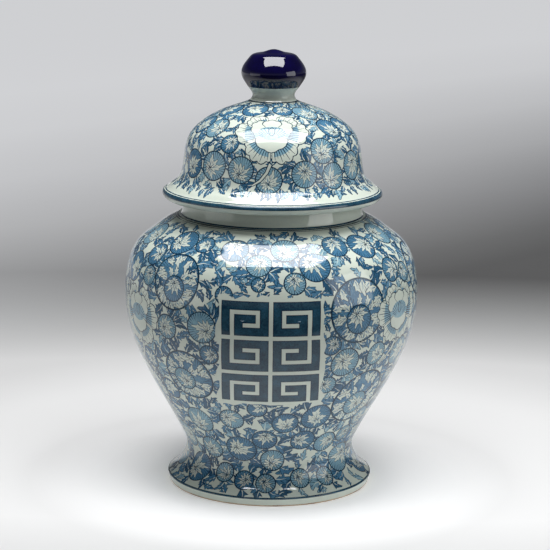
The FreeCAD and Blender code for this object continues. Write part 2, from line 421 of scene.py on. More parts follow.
def leaf(brush, length, width, bend, teeth=3, fill=MID, line=0.34):
    """A toothed leaf from its root at 0 towards +X. A dark one has a white vein, a white one dark veins."""
    jags = {side: [brush.uniform(0.72, 1.2) for _ in range(teeth)] for side in (-1, 1)}

    def swell(u):
        return width / 2 * math.sin(math.pi * u ** 0.8)

    def side_line(side, grow):
        row = []
        for k in range(teeth):
            notch, tip = (k + 0.18) / teeth * 0.88, (k + 1.12) / teeth * 0.88
            row.append(curled(length, bend, notch, side * (0.50 * swell(notch) + grow)))
            row.append(curled(length, bend, tip, side * (jags[side][k] * swell(tip) + grow)))
        return row

    def whole(grow):
        tip = curled(length, bend, 1 + 1.6 * grow / length)
        return [complex(-grow, 0)] + side_line(-1, grow) + [tip] + side_line(1, grow)[::-1]

    marks = [(whole(line), LINE), (whole(-line * 0.4), fill)]
    if fill == WHITE:
        for w in (-0.16, 0.14):
            vein = [curled(length, bend, u, w * width * u) for u in (0.12, 0.72)]
            marks.append((stroke(vein, [0.55, 0]), MID))
        return marks
    vein = [curled(length, bend, u, 0.08 * width) for u in (0.04, 0.35, 0.72)]
    marks.append((stroke(vein, [0.85, 0.6, 0]), WHITE))
    side = brush.choice((-1, 1))
    for k in range(teeth):
        u = (k + 0.55) / teeth * 0.85
        ends = [curled(length, bend, u - 0.10, 0), curled(length, bend, u + 0.16, side * 0.72 * swell(u))]
        marks.append((stroke(ends, [0.7, 0]), LINE))
    return marks


print("a leaf takes", len(leaf(random.Random(0), 12, 7, 40)), "marks")

# %% [markdown]
# ## Scroll flowers
# The ground is filled with flowers, each in a ring of scrolling stem. A dark line makes the ring. Inside,
# a wash is hatched from the rim, and white toothed leaves fan out from a heart that is off the middle.
# Blue leaves spring from the outside of the ring. One flower copied about would soon show, so each is
# drawn afresh with its own draws of chance. Leaves and rings are kept apart, because on the pot all blue
# leaves lie under all rings.

# %% Rings, their flowers and their leaves
RING_LINE = 0.95
LEAF_WASHES = (PALE, MID, MID, DEEP_WASH, DEEP_WASH)


def hatched_ring(brush, radius, depth, wash, line=RING_LINE):
    """A ring of stem with a wash in it, hatched inwards from the rim with slanting strokes."""
    inner = radius - line
    marks = [(disc(radius), LINE), (disc(inner), wash)]
    count = round(radius * 2.5)
    slant = brush.choice((-1, 1)) * brush.uniform(0.12, 0.4)
    first = brush.uniform(0, math.tau)
    for k in range(count):
        a = first + math.tau * k / count
        ends = [rect(inner - 0.1, a), rect(inner - depth * brush.uniform(0.6, 1.1), a + slant)]
        marks.append((stroke(ends, [0.62, 0]), LINE))
    return marks


def scroll_flower(brush, radius):
    """A hatched ring with a fan of white toothed leaves, seen from one side."""
    marks = hatched_ring(brush, radius, 0.55 * radius, brush.choice((PALE, PALE, MID, MID, MID)))
    inner = radius - RING_LINE
    heart = rect(radius * brush.uniform(0.20, 0.50), brush.uniform(0, math.tau))
    broad = brush.random() < 0.2
    count = 6 if broad else brush.choice((10, 11, 12))
    first = brush.uniform(0, math.tau)
    curl = brush.choice((-1, 1))
    for k in range(count):
        a = first + math.tau * (k + brush.uniform(-0.25, 0.25)) / count
        way = rect(1, a)
        along = (heart.conjugate() * way).real
        to_ring = -along + math.sqrt(along * along + inner * inner - abs(heart) ** 2)
        length = to_ring * brush.uniform(0.62, 0.98)
        width = min(length * 0.85, radius * (0.8 if broad else 0.42)) * brush.uniform(0.8, 1.25)
        bend = curl * brush.uniform(10, 75 if broad else 40)
        marks += moved(leaf(brush, length, width, bend, 2 if length < 8 else 3, WHITE, 0.26),
                       by=heart, turn=math.degrees(a) - bend / 2)
    for sweep in (0.0, 2.1, 4.2):
        a = first + sweep
        path = [heart + rect(r * radius, a + 0.9 * r * 5) for r in (0.05, 0.13, 0.22)]
        marks.append((stroke(path, [0.9, 0.7, 0.25]), LINE))
    return marks


def leaf_collar(brush, radius, count, length):
    """Blue leaves that spring from the outside of a ring and lean round it."""
    marks = []
    lean = brush.choice((-1, 1))
    first = brush.uniform(0, 360)
    for k in range(count):
        at = first + 360 * (k + brush.uniform(-0.3, 0.3)) / count
        root = rect(radius - 0.8, math.radians(at))
        size = length * brush.uniform(0.75, 1.3)
        marks += moved(leaf(brush, size, size * brush.uniform(0.5, 0.8), lean * brush.uniform(20, 95),
                            brush.choice((2, 3, 3)), brush.choice(LEAF_WASHES)),
                       by=root, turn=at + lean * brush.uniform(-45, 30))
    return marks


def great_ring(brush, radius):
    """A wide ring of stem with a smaller flower in it and curled white leaves all round that."""
    marks = hatched_ring(brush, radius, 0.50 * radius, MID, 1.3)
    inner_r = radius * 0.46
    inner = rect(radius * 0.26, brush.uniform(-2.6, -0.6))
    for root_r, centre, count, long, inward in ((radius - 1.6, 0, 19, 0.50, 180),
                                                (inner_r - 0.5, inner, 12, 0.40, 0)):
        for k in range(count):
            at = 360 * (k + brush.uniform(-0.25, 0.25)) / count
            root = centre + rect(root_r, math.radians(at))
            size = radius * long * brush.uniform(0.8, 1.15)
            fill = WHITE if brush.random() < 0.88 else brush.choice((MID, DEEP_WASH))
            bend = brush.uniform(40, 100)
            marks += moved(leaf(brush, size, size * 0.62, bend, 3, fill, 0.3), by=root,
                           turn=at + inward + brush.uniform(-60, 10))
    for k in range(4):
        path = [rect(radius - 0.65, math.radians(90 * k + 7.6 * i)) for i in range(13)]
        marks.append((stroke(path, [1.3] * 13), LINE))
    return marks + moved(scroll_flower(brush, inner_r), by=inner)


print("a scroll flower takes", len(scroll_flower(random.Random(0), 12)), "marks")

# %% [markdown]
# ## Peonies
# Open peonies sit between the rings. Each has six wide petals with scalloped ends, a dark outline and
# short dark hatching, and a cup of white petals round a bud. A petal could be traced point by point, but
# a rule is shorter and bends to any size: it is a fan whose length is a function of the angle across it,
# with a small wave for the scallops.

# %% Petals and the open flower
CUP_WASH = 0.24                         # the thinnest wash, in the cup of an open flower


def petal(length, spread, lobes, hatches, line=0.85):
    """A scalloped fan from its root at 0 towards +X, with its outline, wash and hatching."""
    spread = math.radians(spread)

    def reach(t):
        """Length of the petal at t, from -1 to 1 across it."""
        return length * (1 - 0.16 * t * t) * (1 + 0.075 * abs(math.cos(lobes * math.pi * t / 2)))

    def fan(grow):
        across = [k / (lobes * 4) * 2 - 1 for k in range(lobes * 4 + 1)]
        return [-grow] + [rect(reach(t) + grow, spread / 2 * t * (1 + grow / length)) for t in across]

    marks = [(fan(0), LINE), (fan(-line), WHITE)]
    if hatches:
        inner = [rect(0.76 * length, spread / 2 * t) for t in (-0.85, -0.4, 0, 0.4, 0.85)]
        marks.append(([rect(0.2 * length, 0)] + inner, PALE))
    for k in range(hatches):
        t = ((k + 0.5) / hatches * 2 - 1) * 0.88
        far = 0.93 - 0.12 * (k % 2)
        ends = [rect(f * reach(t), spread / 2 * t) for f in (0.46, far)]
        marks.append((stroke(ends, [1.0, 0.3]), LINE))
    return marks


def peony(size):
    """An open flower, size mm from side to side, facing out of the pot."""
    half = size / 2
    marks = []
    # each petal's direction, its length against half the flower, how many degrees it spreads, its lobes
    for at, reach, spread, lobes in ((178, 1.0, 56, 3), (2, 1.0, 56, 3), (128, 0.86, 58, 3),
                                     (52, 0.86, 58, 3), (-124, 0.92, 66, 4), (-56, 0.92, 66, 4)):
        marks += moved(petal(half * reach, spread, lobes, 9), turn=at)
    for at, reach, spread in ((150, 0.60, 74), (30, 0.60, 74), (90, 0.50, 84), (-90, 0.62, 124)):
        marks += moved(petal(half * reach, spread, 3, 0, line=0.7), by=0.04j * size, turn=at)
    cup = [0.02j * size + size * complex(0.20 * math.cos(a), 0.125 * math.sin(a))
           for a in (math.tau * k / 18 for k in range(18))]
    marks.append((cup, CUP_WASH))
    base = -0.10j * size
    for k in range(13):
        rim = 0.02j * size + size * rect(1, math.radians(196 - 17.7 * k)).real * 0.19 \
            + 1j * size * 0.12 * math.sin(math.radians(196 - 17.7 * k))
        marks.append((stroke([base + 0.45 * (rim - base), rim], [0.3, 0.75]), DEEP_WASH))
    bud_middle = 0.05j * size
    for wide, high, pigment in ((0.048, 0.082, LINE), (0.036, 0.070, CUP_WASH)):
        marks.append(([bud_middle + size * complex(wide * math.cos(a), high * math.sin(a))
                       for a in (math.tau * k / 14 for k in range(14))], pigment))
    for x in (-0.016, 0.016):
        vein = [complex(x * size, 0.0), complex(x * 0.5 * size, 0.105 * size)]
        marks.append((stroke(vein, [0.6, 0.3]), MID))
    return marks


def flower_stem(size):
    """The sepals and the curved double-lined stem under a peony."""
    foot = complex(0.02, -0.34) * size
    path = [foot + p * size for p in (0, -0.03 - 0.10j, -0.08 - 0.22j, -0.17 - 0.33j, -0.28 - 0.40j)]
    marks = [(stroke(path, [4.2, 3.8, 3.4, 3.0, 1.8]), LINE),
             (stroke(path, [2.6, 2.2, 1.9, 1.5, 0.8]), WHITE)]
    for side in (-1, 1):
        sepal = [foot - 0.10j * size, foot + complex(side * 0.07, -0.01) * size,
                 foot + complex(side * 0.13, 0.09) * size]
        marks.append((stroke(sepal, [2.6, 4.6, 0]), LINE))
        marks.append((stroke(sepal, [1.2, 3.0, 0]), MID))
        marks.append((stroke(sepal[:2], [0.7, 0.7]), WHITE))
    return marks


print("a peony takes", len(peony(56)), "marks")

# %% [markdown]
# ## The front panel
# Each third of the jar has an upright panel of thick dark bars on a white reserve. Here it is a key fret,
# the square spiral that borders have carried all over the world. An array of one tile would leave seams
# where tiles meet, so the path of a spiral is written as steps on a grid, and each step is one bar that
# reaches half its width past both ends. All bars are laid first in dark line and then, a little narrower,
# in a deep wash.

# %% A block of key fret
PANEL_W, PANEL_H, MARGIN = 77.0, 88.0, 3.6
BAR, BAR_EDGE = 6.9, 0.85               # width of a bar, and of the dark line along its edges, mm
SPIRAL = ((0, 0), (0, 2), (3, 2), (3, 0), (1, 0), (1, 1), (2, 1))     # corners of one spiral, in grid steps
SPIRAL_COLUMNS, SPIRAL_ROWS = 4, 3      # the grid points that one spiral takes
FRET_ROWS = 3                           # spirals from the foot of the panel to its head


def box_round(a, b, half):
    """The rectangle that reaches half mm past two points which are level or upright."""
    low_x, high_x = min(a.real, b.real) - half, max(a.real, b.real) + half
    low_y, high_y = min(a.imag, b.imag) - half, max(a.imag, b.imag) + half
    return [complex(low_x, low_y), complex(high_x, low_y), complex(high_x, high_y), complex(low_x, high_y)]


def reserve(brush):
    """The white ground round the panel, with an edge that wanders where leaves reach in."""
    corners = [complex(x * (PANEL_W / 2 + MARGIN), y * (PANEL_H / 2 + MARGIN))
               for x, y in ((-1, -1), (1, -1), (1, 1), (-1, 1))]
    edge = []
    for a, b in zip(corners, corners[1:] + corners[:1]):
        out = -1j * (b - a) / abs(b - a)
        edge += [a + (b - a) * k / 12 + out * brush.uniform(-2.6, 2.0) for k in range(12)]
    return edge


def fret_panel(brush):
    """Two columns of square spirals that mirror each other, with a white gap between one and the next."""
    step_x = (PANEL_W - BAR) / (2 * SPIRAL_COLUMNS - 1)
    step_y = (PANEL_H - BAR) / (FRET_ROWS * SPIRAL_ROWS - 1)
    bars = []
    for side in (-1, 1):
        for row in range(FRET_ROWS):
            flip = row % 2 == 1               # every other row stands on its head
            corners = []
            for i, j in SPIRAL:
                level = row * SPIRAL_ROWS + (SPIRAL_ROWS - 1 - j if flip else j)
                corners.append(complex(side * (SPIRAL_COLUMNS - 0.5 - i) * step_x,
                                       level * step_y + (BAR - PANEL_H) / 2))
            bars += list(zip(corners, corners[1:]))
    marks = [(reserve(brush), WHITE)]
    marks += [(box_round(a, b, BAR / 2), DARK_LINE) for a, b in bars]
    marks += [(box_round(a, b, BAR / 2 - BAR_EDGE), DEEP) for a, b in bars]
    return marks


print("the panel takes", len(fret_panel(random.Random(0))), "marks")

# %% [markdown]
# ## Lay out the jar
# The plan repeats three times round the jar: a panel, two great rings on each side of it, and a peony
# between one group and the next. Smaller flowers have set places near each panel and are thrown like
# darts elsewhere: a spot is kept only where nothing else is in reach. A grid would be easier to fill, but
# the eye finds its rows at once. One seed makes every choice, so the jar is painted the same way each
# time.

# %% Find free spots
class Plan:
    """What already has a place on a sheet."""

    def __init__(self, sheet):
        self.sheet = sheet
        self.spots = []                      # (angle, along, half width, half height)

    def across(self, a, b, along):
        """Millimetres round the pot between two angles."""
        turn = (a - b + 180) % 360 - 180
        return math.radians(turn) * self.sheet.radius(along)

    def take(self, angle, along, half_w, half_h=None):
        self.spots.append((angle, along, half_w, half_h))

    def free(self, angle, along, reach):
        for a, s, w, h in self.spots:
            dx, dy = abs(self.across(angle, a, (along + s) / 2)), abs(along - s)
            if h is None and math.hypot(dx, dy) < w + reach:
                return False
            if h is not None and dx < w + reach and dy < h + reach:
                return False
        return True

    def scatter(self, brush, lowest, highest, reach, tries):
        """Throw darts between two heights on the sheet, and give back those that found room."""
        found = []
        for _ in range(tries):
            angle, along = brush.uniform(-180, 180), brush.uniform(lowest, highest)
            if self.free(angle, along, reach):
                self.take(angle, along, reach)
                found.append((angle, along))
        return found


SEED = 7
brush = random.Random(SEED)
jar_sheet = Sheet([foot_outline, lower_outline, upper_outline])
jar_plan = Plan(jar_sheet)
up = jar_sheet.up
print(f"the jar's sheet is {jar_sheet.along[-1]:.0f} mm up")

# %% Place the panels, great rings, peonies and flowers
THIRDS = (0, 120, 240)
PANEL_MIDDLE = up(131.0)
PEONY_SIZE = 56.0
peonies = [(58 + third, up(154.0 + rise)) for third, rise in zip(THIRDS, (3, 0, -3))]
great_rings = [(angle + third, up(height), radius) for third in THIRDS for angle, height, radius in
               ((-40, 184.0, 23.0), (35, 164.0, 26.0), (-37, 108.0, 23.0), (46, 88.0, 26.0))]
flowers = [(angle + third, up(height), radius) for third in THIRDS for angle, height, radius in
           ((-18, 178.0, 7.5), (9, 188.0, 9.0), (-5, 187.0, 6.0), (-17, 209.0, 11.5), (6, 210.0, 11.5),
            (31, 211.0, 11.0), (-20, 72.0, 10.5), (8, 70.0, 11.0), (2, 35.0, 10.0), (36, 48.0, 10.5),
            (-40, 41.0, 10.5), (-62, 66.0, 10.0), (-16, 17.5, 8.5), (20, 19.0, 8.5))]

for third in THIRDS:
    jar_plan.take(third, PANEL_MIDDLE, PANEL_W / 2, PANEL_H / 2)
for angle, along in peonies:
    jar_plan.take(angle, along, PEONY_SIZE * 0.42)
for angle, along, radius in great_rings:
    jar_plan.take(angle, along, radius)
for angle, along, radius in flowers:
    jar_plan.take(angle, along, radius)
for radius, tries in ((13.0, 1200), (10.5, 1200), (8.5, 1500)):
    for angle, along in jar_plan.scatter(brush, up(15.0), up(216.0), radius * 0.96, tries):
        flowers.append((angle, along, radius))
sprigs = jar_plan.scatter(brush, up(9.5), up(219.0), 3.4, 6000)
print(len(flowers), "flowers and", len(sprigs), "sprigs on the jar")

# %% Paint the jar: leaves first, then rings, peonies, panels and bands
def sprig(brush, shortest, longest):
    """One loose blue leaf, about its own middle."""
    length = brush.uniform(shortest, longest)
    blade = leaf(brush, length, length * 0.62, brush.uniform(-90, 90), 3, brush.choice(LEAF_WASHES))
    return moved(blade, by=-length / 2)


for angle, along in sprigs:
    jar_sheet.stamp(sprig(brush, 9.0, 13.5), angle, along, turn=brush.uniform(0, 360))
for angle, along, radius in flowers + great_rings:
    count = round(radius * 0.55) if radius < 15 else 14
    jar_sheet.stamp(leaf_collar(brush, radius, count, 12.0), angle, along)
for angle, along, radius in great_rings:
    jar_sheet.stamp(great_ring(brush, radius), angle, along)
for angle, along, radius in flowers:
    jar_sheet.stamp(scroll_flower(brush, radius), angle, along)
for angle, along in peonies:
    jar_sheet.stamp(flower_stem(PEONY_SIZE), angle, along)
    jar_sheet.stamp(peony(PEONY_SIZE), angle, along)
for third in THIRDS:
    jar_sheet.stamp(fret_panel(brush), third, PANEL_MIDDLE)
jar_sheet.band(-1.0, up(6.0), WHITE)
jar_sheet.band(up(6.1), up(7.3) + 0.3, DEEP)
# A thin line and a broad one ring the foot of the neck; the broad one is a real line widened with painted
# shade of the crease under the brim
jar_sheet.band(jar_sheet.along[-1] - 2.9, jar_sheet.along[-1] - 2.2, LINE)
jar_sheet.band(jar_sheet.along[-1] - 1.5, jar_sheet.along[-1] + 1.0, LINE)
print(len(jar_sheet.marks), "marks on the jar")

# %% [markdown]
# ## Lay out the lid
# The lid has a peony above each panel, flowers between them and a fringe of leaves that hangs over the
# plain brim. A broad line and a thin one are banded round the edge of the brim, and a dark line rings the
# top of the dome, under the stem. The lid could share the jar's sheet, but its marks needn't meet the
# jar's, so it is painted on a sheet of its own.

# %% Place the lid's flowers
lid_sheet = Sheet([lid_outline])
lid_plan = Plan(lid_sheet)
lid_up = lid_sheet.up
LID_PEONY = 57.0
lid_peonies = [(third - 1, lid_up(295.0)) for third in THIRDS]
lid_flowers = [(angle + third, lid_up(height), radius) for third in THIRDS for angle, height, radius in
               ((-40, 269.0, 12.0), (20, 265.0, 11.0), (-50, 297.0, 11.0), (50, 297.5, 11.0),
                (60, 268.0, 12.0))]
for angle, along in lid_peonies:
    lid_plan.take(angle, along, LID_PEONY * 0.44)
for angle, along, radius in lid_flowers:
    lid_plan.take(angle, along, radius)
for radius, tries in ((11.0, 1200), (8.5, 1500)):
    for angle, along in lid_plan.scatter(brush, lid_up(258.0), lid_up(311.0), radius * 0.96, tries):
        lid_flowers.append((angle, along, radius))
lid_sprigs = lid_plan.scatter(brush, lid_up(252.0), lid_up(313.0), 3.0, 4000)
fringe = lid_plan.scatter(brush, lid_up(248.5), lid_up(253.0), 2.4, 1500)
print(len(lid_flowers), "flowers and", len(lid_sprigs) + len(fringe), "loose leaves on the lid")

# %% Paint the lid
for angle, along in lid_sprigs:
    lid_sheet.stamp(sprig(brush, 8.0, 11.5), angle, along, turn=brush.uniform(0, 360))
for angle, along in fringe:
    length = brush.uniform(6.5, 10.5)
    tuft = leaf(brush, length, length * 0.7, brush.uniform(-60, 60), 3, brush.choice(LEAF_WASHES))
    lid_sheet.stamp(tuft, angle, along + 3.5, turn=-90 + brush.uniform(-45, 45))
for angle, along, radius in lid_flowers:
    lid_sheet.stamp(leaf_collar(brush, radius, round(radius * 0.66), 10.0), angle, along)
for angle, along, radius in lid_flowers:
    lid_sheet.stamp(scroll_flower(brush, radius), angle, along)
for angle, along in lid_peonies:
    lid_sheet.stamp(flower_stem(LID_PEONY), angle, along)
    lid_sheet.stamp(peony(LID_PEONY), angle, along)
brim_line = lid_up(239.7)
lid_sheet.band(-1.0, brim_line, WHITE)
lid_sheet.band(brim_line, brim_line + 3.8, DEEP)
lid_sheet.band(brim_line + 3.8, brim_line + 4.6, WHITE)
lid_sheet.band(brim_line + 4.6, brim_line + 5.7, DEEP)
lid_sheet.band(lid_sheet.along[-1] - 1.8, lid_sheet.along[-1] - 0.3, LINE)
print(len(lid_sheet.marks), "marks on the lid")

# %% [markdown]
# ## From marks to a sheet of clay
# The paint could be a pattern in the material, but thousands of drawn leaves have no formula, so each
# mark is cut into the clay's own mesh. The sheet becomes a flat mesh in two passes. The first lays the
# edges of all marks into one constrained Delaunay triangulation, and the last mark that covers a triangle
# gives it its pigment. That is the picture, but it still carries the edges of marks that are painted
# over. The second pass keeps only the edges where the pigment changes, and adds a grid that follows the
# outline and the circle. The sheet's back edges match each other, so the marks run on round the back.

# %% Lay the marks out round one piece
THIN_TOLERANCE = 0.05                   # how far a painted edge may move when a point is dropped, mm
BACK = 179.999                          # degrees, just short of the edge at the back of the sheet
CLOSE = 1e-4                            # points this close are one point to the triangulation, mm


def closed_steps(points):
    """The sides of a mark, divided so that none is longer than MARK_STEP."""
    out = []
    for a, b in zip(points, points[1:] + points[:1]):
        pieces = max(1, math.ceil(math.dist(a, b) / MARK_STEP))
        out += [(a[0] + (b[0] - a[0]) * k / pieces, a[1] + (b[1] - a[1]) * k / pieces)
                for k in range(pieces)]
    return out


def anticlockwise(points):
    area = sum(a[0] * b[1] - b[0] * a[1] for a, b in zip(points, points[1:] + points[:1]))
    return points if area > 0 else points[::-1]


def laid_out(marks, half, start, outside):
    """The marks that touch one piece, as loops in millimetres with their pigments."""
    for shape, pigment in marks:
        along = [s - start for _, s in shape]
        if min(along) > outside or max(along) < 0:
            continue
        angles = [a for a, _ in shape]
        middle = round((min(angles) + max(angles)) / 720) * 360
        for lap in (-360, 0, 360):
            shift = lap - middle
            if min(angles) + shift <= BACK and max(angles) + shift >= -BACK:
                loop = [((a + shift) / 180 * half, s) for a, s in zip(angles, along)]
                yield anticlockwise(closed_steps(loop)), pigment


foot_marks = list(laid_out(jar_sheet.marks, 1.0, 0.0, jar_sheet.starts[1]))
print(len(foot_marks), "marks touch the foot")

# %% Find what can be seen of the marks
def thinned(corners, edges):
    """Drop the points that hardly bend a line between two colours, so that long sides stay long."""
    ends = {}
    for a, b in edges:
        ends.setdefault(a, []).append(b)
        ends.setdefault(b, []).append(a)
    for v in list(ends):
        if len(ends[v]) != 2:
            continue
        a, b = ends[v]
        chord = corners[b] - corners[a]
        if b in ends[a] or not 1e-6 < chord.length < MARK_STEP:
            continue
        if abs(chord.cross(corners[v] - corners[a])) / chord.length < THIN_TOLERANCE:
            ends[a][ends[a].index(v)] = b
            ends[b][ends[b].index(v)] = a
            del ends[v]
    return [(a, b) for a, others in ends.items() for b in others if a < b]


def picture(marks, half, start, outside):
    """The visible edges of the marks, and a search tree that finds the pigment under a point."""
    points = [Vector(p) for p in ((-half, 0), (half, 0), (half, outside), (-half, outside))]
    faces, pigments = [[0, 1, 2, 3]], [WHITE]
    for loop, pigment in laid_out(marks, half, start, outside):
        faces.append(list(range(len(points), len(points) + len(loop))))
        points += [Vector(p) for p in loop]
        pigments.append(pigment)
    found = delaunay_2d_cdt(points, [], faces, 1, CLOSE, True)
    corners = found[0]
    inside = [(triangle, pigments[max(owner)]) for triangle, owner in zip(found[2], found[5]) if 0 in owner]
    triangles = np.array([triangle for triangle, _ in inside])
    shades = np.array([pigment for _, pigment in inside])
    sides = np.concatenate([triangles[:, [0, 1]], triangles[:, [1, 2]], triangles[:, [2, 0]]])
    sides = np.sort(sides, axis=1)
    order = np.lexsort((sides[:, 1], sides[:, 0]))
    sides, shade = sides[order], np.tile(shades, 3)[order]
    twins = (sides[1:] == sides[:-1]).all(axis=1) & (shade[1:] != shade[:-1])
    tree = BVHTree.FromPolygons([(c.x, c.y, 0) for c in corners], triangles.tolist(), all_triangles=True)
    return corners, thinned(corners, sides[1:][twins].tolist()), tree, shades


print("painted edges move less than", THIN_TOLERANCE, "mm")

# %% Make the flat mesh
def flat_sheet(name, outline, column, marks=(), start=0.0, bare=()):
    """A flat mesh in metres: x is the angle, as an arc at the widest radius, and y is the distance
    along the outline. Bare stretches of the outline, given as two distances, have no glaze."""
    half = math.pi * float(outline.points[:, 0].max())
    outside, end = float(outline.along[outline.outside]), float(outline.along[-1])
    columns = max(48, round(2 * half / column))
    points = [Vector((half * (2 * i / columns - 1), s)) for s in outline.along for i in range(columns + 1)]
    edges = []
    if marks:
        corners, seen, tree, shades = picture(marks, half, start, outside)
        number = {v: len(points) + i for i, v in enumerate(sorted({v for edge in seen for v in edge}))}
        points += [corners[v] for v in number]
        edges = [(number[a], number[b]) for a, b in seen]
    frame_face = list(range(len(points), len(points) + 4))
    points += [Vector(p) for p in ((-half, 0), (half, 0), (half, end), (-half, end))]
    found = delaunay_2d_cdt(points, edges, [frame_face], 1, CLOSE, False)
    corners, kept, pigment = found[0], [], []
    for triangle in found[2]:
        x, y = sum((corners[v] for v in triangle), Vector((0, 0))) / 3
        if all(outline.radius(corners[v].y) < 1e-3 for v in triangle):
            continue                          # a run down the axis is not a surface
        kept.append(triangle)
        if any(a < y < b for a, b in bare):
            pigment.append(CLAY)
        else:
            painted = marks and y < outside
            pigment.append(float(shades[tree.find_nearest((x, y, 0))[2]]) if painted else WHITE)
    mesh = bpy.data.meshes.new(name)
    mesh.from_pydata([(c.x / MM, c.y / MM, 0) for c in corners], [], kept)
    mesh.attributes.new("pigment", "FLOAT", "FACE").data.foreach_set("value", pigment)
    return mesh, half / math.pi / MM


print("a sheet of the neck is", len(flat_sheet("trial", neck_outline, 3.6)[0].polygons), "triangles")
bpy.data.meshes.remove(bpy.data.meshes["trial"])

# %% [markdown]
# ## The potter's wheel
# Every piece of the jar is turned. A Screw modifier could spin each outline, but it would leave no sheet
# to paint on, so one Geometry Nodes tree throws them all. It takes a flat sheet, reads each point's
# distance up the outline from a curve, and swings it round the axis by its angle. It also keeps the
# outline's own heading, and so the surface's normal. The reflections in the glaze then follow the true
# curve and not the triangles. The two back edges are welded, and bare stretches get bare clay.

# %% Build the wheel
def wheel_tree():
    tree = bpy.data.node_groups.new("Throw on the wheel", "GeometryNodeTree")
    face = tree.interface
    face.new_socket("Sheet", in_out="INPUT", socket_type="NodeSocketGeometry")
    face.new_socket("Outline", in_out="INPUT", socket_type="NodeSocketObject")
    face.new_socket("Widest radius", in_out="INPUT", socket_type="NodeSocketFloat")
    face.new_socket("Weld distance", in_out="INPUT", socket_type="NodeSocketFloat")
    face.new_socket("Glaze", in_out="INPUT", socket_type="NodeSocketMaterial")
    face.new_socket("Bare clay", in_out="INPUT", socket_type="NodeSocketMaterial")
    face.new_socket("Piece", in_out="OUTPUT", socket_type="NodeSocketGeometry")
    nodes, join = tree.nodes, tree.links.new
    given = nodes.new("NodeGroupInput")
    flat = nodes.new("ShaderNodeSeparateXYZ")
    join(nodes.new("GeometryNodeInputPosition").outputs[0], flat.inputs[0])

    def math_node(operation, a, b=None):
        node = nodes.new("ShaderNodeMath")
        node.operation = operation
        for socket, value in zip(node.inputs, (a, b)):
            if isinstance(value, (int, float)):
                socket.default_value = value
            elif value is not None:
                join(value, socket)
        return node.outputs[0]

    angle = math_node("DIVIDE", flat.outputs["X"], given.outputs["Widest radius"])
    sine, cosine = math_node("SINE", angle), math_node("COSINE", angle)
    gauge = nodes.new("GeometryNodeObjectInfo")
    join(given.outputs["Outline"], gauge.inputs["Object"])
    sample = nodes.new("GeometryNodeSampleCurve")
    sample.mode = "LENGTH"
    join(gauge.outputs["Geometry"], sample.inputs["Curves"])
    join(flat.outputs["Y"], sample.inputs["Length"])
    join(nodes.new("GeometryNodeInputCurveTilt").outputs[0], sample.inputs["Value"])
    heading_sine = math_node("SINE", sample.outputs["Value"])
    heading_cosine = math_node("COSINE", sample.outputs["Value"])

    def swung(radial, upward):
        """A vector in the outline's plane, turned round the axis. Angle 0 faces -Y."""
        out = nodes.new("ShaderNodeCombineXYZ")
        join(math_node("MULTIPLY", radial, sine), out.inputs["X"])
        join(math_node("MULTIPLY", math_node("MULTIPLY", radial, cosine), -1.0), out.inputs["Y"])
        join(upward, out.inputs["Z"])
        return out.outputs[0]

    place = nodes.new("ShaderNodeSeparateXYZ")
    join(sample.outputs["Position"], place.inputs[0])
    store = nodes.new("GeometryNodeStoreNamedAttribute")
    store.data_type, store.domain = "FLOAT_VECTOR", "POINT"
    store.inputs["Name"].default_value = "turned normal"
    join(given.outputs["Sheet"], store.inputs["Geometry"])
    join(swung(heading_sine, math_node("MULTIPLY", heading_cosine, -1.0)), store.inputs["Value"])
    throw = nodes.new("GeometryNodeSetPosition")
    join(store.outputs[0], throw.inputs["Geometry"])
    join(swung(place.outputs["X"], place.outputs["Z"]), throw.inputs["Position"])
    weld = nodes.new("GeometryNodeMergeByDistance")
    join(throw.outputs[0], weld.inputs["Geometry"])
    join(given.outputs["Weld distance"], weld.inputs["Distance"])
    soft = nodes.new("GeometryNodeSetShadeSmooth")
    join(weld.outputs[0], soft.inputs["Geometry"])
    real = nodes.new("GeometryNodeRealizeInstances")
    join(soft.outputs[0], real.inputs[0])
    glazed, unglazed = nodes.new("GeometryNodeSetMaterial"), nodes.new("GeometryNodeSetMaterial")
    join(real.outputs[0], glazed.inputs["Geometry"])
    join(given.outputs["Glaze"], glazed.inputs["Material"])
    pigment = nodes.new("GeometryNodeInputNamedAttribute")
    pigment.data_type = "FLOAT"
    pigment.inputs["Name"].default_value = "pigment"
    join(glazed.outputs[0], unglazed.inputs["Geometry"])
    join(math_node("LESS_THAN", pigment.outputs["Attribute"], -0.5), unglazed.inputs["Selection"])
    join(given.outputs["Bare clay"], unglazed.inputs["Material"])
    join(unglazed.outputs[0], nodes.new("NodeGroupOutput").inputs[0])
    return tree


WHEEL = wheel_tree()
print("the wheel has", len(WHEEL.nodes), "nodes")

# %% Throw a piece from its sheet
def gauge_object(outline):
    """The outline as a curve, with its heading kept in the tilt of each point."""
    curve = bpy.data.curves.new("gauge", "CURVE")
    curve.dimensions = "3D"
    spline = curve.splines.new("POLY")
    spline.points.add(len(outline.points) - 1)
    for point, (radius, height), way in zip(spline.points, outline.points, outline.headings):
        point.co = (radius / MM, 0, height / MM, 1)
        point.tilt = way
    gauge = bpy.data.objects.new("gauge", curve)
    bpy.context.collection.objects.link(gauge)
    return gauge


WELD = 2e-6                             # points of the two back edges are this close, m


